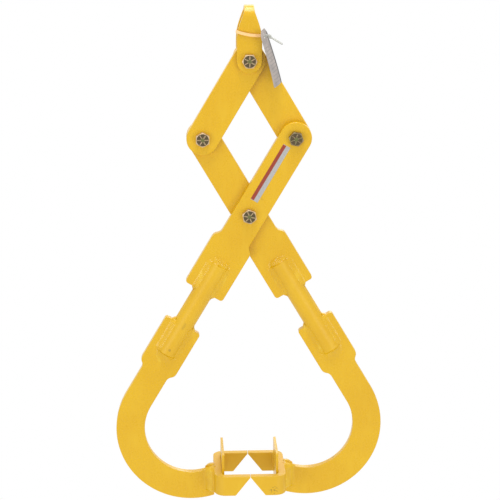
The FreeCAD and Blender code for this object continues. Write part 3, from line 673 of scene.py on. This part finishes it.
def tagMaterial():
    material, s = newMaterial("tagCard")
    place = s.node("ShaderNodeTexCoord", out="Object")
    fromHole = s.vector("SUBTRACT", place, tuple(tagPlace.translation))
    side = s.dot(fromHole, tuple(tagPlace.to_3x3() @ backward))
    drop = s.dot(fromHole, tuple(tagPlace.to_3x3() @ -upward))
    half = tag["width"] / 2
    inset, fade = half - tagLook["ruleInset"], tagLook["fade"]
    fibre = s.noise(place, tagLook["fibreScale"], 3.0)
    handled = s.noise(place, tagLook["handledScale"], 4.0, 0.6)

    rule = s.node("ShaderNodeMath", {"operation": "PINGPONG"}, {0: drop, 1: tagLook["ruleGap"]})
    ruled = 1 - rule.eased(tagLook["ruleHalf"], tagLook["ruleHalf"] + tagLook["ruleFade"])
    ruled = ruled * (1 - abs(side).eased(inset, inset + fade))
    ruled = ruled * drop.eased(tagLook["ruleStart"], tagLook["ruleStart"] + fade)
    ruled = ruled * (1 - drop.eased(tagLook["ruleEnd"], tagLook["ruleEnd"] + fade))
    edge = side.eased(half - tagLook["borderWidth"], half - tagLook["borderWidth"] / 2)
    tone = s.mix(handled.eased(0.4, 0.75), opaque(tagLook["card"]), opaque(tagLook["worn"]))
    tone = s.mix(ruled * tagLook["ruleInk"], tone, opaque(tagLook["rule"]))
    tone = s.mix(edge * tagLook["borderDark"], tone, opaque(tagLook["border"]))
    surface(s, {"Base Color": tone, "Roughness": 0.6 + 0.2 * (handled - 0.5), "Specular IOR Level": 0.2,
                "Normal": s.bump(fibre, 0.15, tagLook["fibreDepth"])})
    return material


def bentTag(point):                                  # where a point of the flat card lies once it is bowed
    below = max(-point.z - tag["hole"], 0) / tag["length"]
    turn = math.radians(tag["topTurn"] * (1 - below))
    curl = tag["curl"] * below * (2 * point.y / tag["width"]) ** 2
    out = tag["bow"] * (math.sin(math.pi * below) - curl) - point.y * math.tan(turn)
    return Vector((out, point.y, point.z))


def hangTag():
    half = tag["width"] / 2
    top = tag["holeDrop"]
    bottom = top - tag["length"]
    cut = tag["cornerCut"]
    outline = [(half, bottom), (half, top - cut), (half - cut, top),
               (cut - half, top), (-half, top - cut), (-half, bottom)]
    bm = bmesh.new()
    corners = [bm.verts.new((0, y, z)) for y, z in outline]
    for index, corner in enumerate(corners):
        bm.edges.new((corners[index - 1], corner))
    bmesh.ops.bevel(bm, geom=corners, offset=tag["round"], affect="VERTICES", segments=4, profile=0.5,
                    material=-1)
    hole = bmesh.ops.create_circle(bm, segments=tag["holeSides"], radius=tag["hole"] / 2)["verts"]
    bmesh.ops.rotate(bm, matrix=Matrix.Rotation(math.radians(90), 3, "Y"), verts=hole)
    bmesh.ops.triangle_fill(bm, use_beauty=True, edges=bm.edges[:])
    for index in range(1, tag["slices"]):
        share = index / tag["slices"]
        level = (0, 0, top - tag["length"] * share)
        upright = (0, half * (2 * share - 1), 0)
        for spot, normal in ((level, upward), (upright, backward)):
            everything = bm.verts[:] + bm.edges[:] + bm.faces[:]
            bmesh.ops.bisect_plane(bm, geom=everything, plane_co=spot, plane_no=normal)
    bmesh.ops.remove_doubles(bm, verts=bm.verts[:], dist=tag["sliver"])
    bmesh.ops.dissolve_degenerate(bm, edges=bm.edges[:], dist=tag["sliver"])
    for vert in bm.verts:
        vert.co = bentTag(vert.co)
    bmesh.ops.recalc_face_normals(bm, faces=bm.faces)
    bmesh.ops.solidify(bm, geom=bm.faces[:], thickness=tag["thickness"])
    bmesh.ops.recalc_face_normals(bm, faces=bm.faces)
    bmesh.ops.translate(bm, vec=(-tag["thickness"] / 2, 0, 0), verts=bm.verts)
    bmesh.ops.transform(bm, matrix=tagPlace, verts=bm.verts)
    return bm


tagCard = tagMaterial()
addPiece("hang_tag_bowed", hangTag(), tagCard, bodyOf["hang_tag"], slotOf["hang_tag"], "hang_tag")
print("tie and tag made")


# label strip: a plain two-colour film along the front arm

label = {"redShare": 0.42, "redFade": 0.03, "margin": 0.6 * mm, "marginFade": 0.18 * mm,
         "red": (0.3, 0.04, 0.016), "white": (0.43, 0.42, 0.41), "worn": (0.34, 0.33, 0.33),
         "rubScale": 240, "rubWhite": 0.6, "rubRed": 0.25, "fineScale": 1500, "fineDepth": 0.04 * mm}


def labelMaterial():
    material, s = newMaterial("labelFilm")
    place = s.node("ShaderNodeTexCoord", out="Object")
    axis = armAxes["left"]
    across = axis.cross(backward)
    if across.z > 0:                                 # from the strip's upper edge to its lower one
        across = -across
    nearEdge, farEdge = reach("label_strip", across)
    topEnd, lowEnd = reach("label_strip", axis)
    margin, fade = label["margin"], label["marginFade"]
    width = farEdge - nearEdge
    redEdge = nearEdge + label["redShare"] * width
    along = s.dot(place, tuple(axis))
    inEnds = along.eased(topEnd + margin, topEnd + margin + fade)
    inEnds = inEnds * (1 - along.eased(lowEnd - margin - fade, lowEnd - margin))
    inRed = 1 - s.dot(place, tuple(across)).eased(redEdge, redEdge + label["redFade"] * width)
    rub = s.noise(place, label["rubScale"], 4.0, 0.65)
    fine = s.noise(place, label["fineScale"])
    tone = s.mix(rub.eased(0.45, 0.7) * label["rubWhite"], opaque(label["white"]), opaque(label["worn"]))
    inked = 1 - label["rubRed"] * rub.eased(0.58, 0.7)
    tone = s.mix(inRed * inEnds * inked, tone, opaque(label["red"]))
    rough = 0.34 + 0.2 * (rub - 0.5)
    normal = s.bump(fine, 0.08, label["fineDepth"])
    surface(s, {"Base Color": tone, "Roughness": rough, "Normal": normal})
    return material


# finishes on the CAD nodes

plates = ("link", "arm_plate", "hook_plate", "stop_plate", "strap")   # endings of flat pieces' names
bySlot = {"zinc_plate": zincPlate, "natural_nylon": naturalNylon, "tag_card": tagCard,
          "label_film": labelMaterial()}
heads = {"top_bolt": zincHead, "left_bolt": zincHead, "centre_bolt": zincHead, "right_bolt": zincDark}
for name, node in nodes.items():
    paintFinish = platePaint if name.endswith(plates) else barPaint
    finish = heads.get(name) or bySlot.get(slotOf[name]) or paintFinish
    for holder in node.material_slots:
        holder.material = finish
print("finishes set on", len(nodes), "nodes")


# stage

stage = {"drop": 0.6, "size": 30.0, "pale": (0.86, 0.86, 0.85), "faintShade": 0.97, "faintScale": 6,
         "nearEdge": 0.75, "farEdge": 1.35, "ambient": 0.8}
white = (1.0, 1.0, 1.0)


def seenRays(s):                                     # rays that show the background itself
    camera = s.node("ShaderNodeLightPath", out="Is Camera Ray")
    glossy = s.node("ShaderNodeLightPath", out="Is Glossy Ray")
    through = s.node("ShaderNodeLightPath", out="Is Transmission Ray")
    return camera.larger(glossy).larger(through)


def floorMaterial():                                 # pale by the object, white far out, clear from below
    material, s = newMaterial("paleFloor")
    place = s.node("ShaderNodeTexCoord", out="Object")
    away = s.length(s.vector("MULTIPLY", place, (1.0, 1.0, 0.0)))
    faint = s.noise(place, stage["faintScale"])
    shade = [stage["faintShade"] * part for part in stage["pale"]]
    tone = s.mix(faint, opaque(stage["pale"]), opaque(shade))
    pale = s.node("ShaderNodeBsdfDiffuse", {}, {"Color": tone})
    glow = s.node("ShaderNodeEmission", {}, {"Color": opaque(white), "Strength": 1.0})
    fading = away.eased(stage["nearEdge"], stage["farEdge"]) * seenRays(s)
    shown = s.node("ShaderNodeMixShader", {}, {0: fading, 1: pale, 2: glow})
    backface = s.node("ShaderNodeNewGeometry", out="Backfacing")
    fromBelow = backface * s.node("ShaderNodeLightPath", out="Is Camera Ray")
    clear = s.node("ShaderNodeBsdfTransparent")
    floor = s.node("ShaderNodeMixShader", {}, {0: fromBelow, 1: shown, 2: clear})
    s.node("ShaderNodeOutputMaterial", {}, {"Surface": floor})
    return material


def addFloor():
    bm = bmesh.new()
    bmesh.ops.create_grid(bm, x_segments=4, y_segments=4, size=stage["size"])
    bmesh.ops.translate(bm, vec=upward * (cadBox[0].z - stage["drop"]), verts=bm.verts)
    mesh = bpy.data.meshes.new("floor")
    bm.to_mesh(mesh)
    bm.free()
    mesh.materials.append(floorMaterial())
    floor = bpy.data.objects.new("floor", mesh)
    bpy.context.scene.collection.objects.link(floor)


def addWorld():
    world = bpy.data.worlds.new("studio")
    bpy.context.scene.world = world
    world.use_nodes = True
    world.node_tree.nodes.clear()
    s = Sock(world.node_tree)
    soft = s.node("ShaderNodeBackground", {}, {"Color": opaque(white), "Strength": stage["ambient"]})
    plain = s.node("ShaderNodeBackground", {}, {"Color": opaque(white), "Strength": 1.0})
    sky = s.node("ShaderNodeMixShader", {}, {0: seenRays(s), 1: soft, 2: plain})
    s.node("ShaderNodeOutputWorld", {}, {"Surface": sky})


softboxes = {"overhead": {"place": (0.0, -0.15, 1.4), "size": (0.45, 1.7), "watts": 19},
             "frontLeft": {"place": (-2.1, -2.6, -0.6), "size": (1.4, 1.4), "watts": 20},
             "frontRight": {"place": (2.0, -2.6, -0.8), "size": (1.4, 1.4), "watts": 20},
             "rear": {"place": (1.2, 2.8, 1.0), "size": (2.2, 1.6), "watts": 26}}


def addSoftboxes():
    target = (cadBox[0] + cadBox[1]) / 2
    for name, box in softboxes.items():
        lamp = bpy.data.lights.new(name, "AREA")
        lamp.shape = "RECTANGLE"
        lamp.size, lamp.size_y = box["size"]
        lamp.energy = box["watts"]
        holder = bpy.data.objects.new(name, lamp)
        holder.location = box["place"]
        holder.rotation_euler = (target - Vector(box["place"])).to_track_quat("-Z", "Y").to_euler()
        holder.visible_camera = False
        bpy.context.scene.collection.objects.link(holder)


view = {"place": (-0.1441, -3.1742, 0.4394), "lens": 140.4, "sensor": 36.0,
        "yaw": 0.0459, "pitch": 0.2599}              # radians


def addCamera():
    lens = bpy.data.cameras.new("camera")
    lens.lens = view["lens"]
    lens.sensor_width = view["sensor"]
    holder = bpy.data.objects.new("camera", lens)
    holder.location = view["place"]
    holder.rotation_euler = (math.pi / 2 - view["pitch"], 0, -view["yaw"])
    bpy.context.scene.collection.objects.link(holder)
    bpy.context.scene.camera = holder


addFloor()
addWorld()
addSoftboxes()
addCamera()
bpy.context.scene.view_settings.view_transform = "Standard"
print("stage, light and camera set")
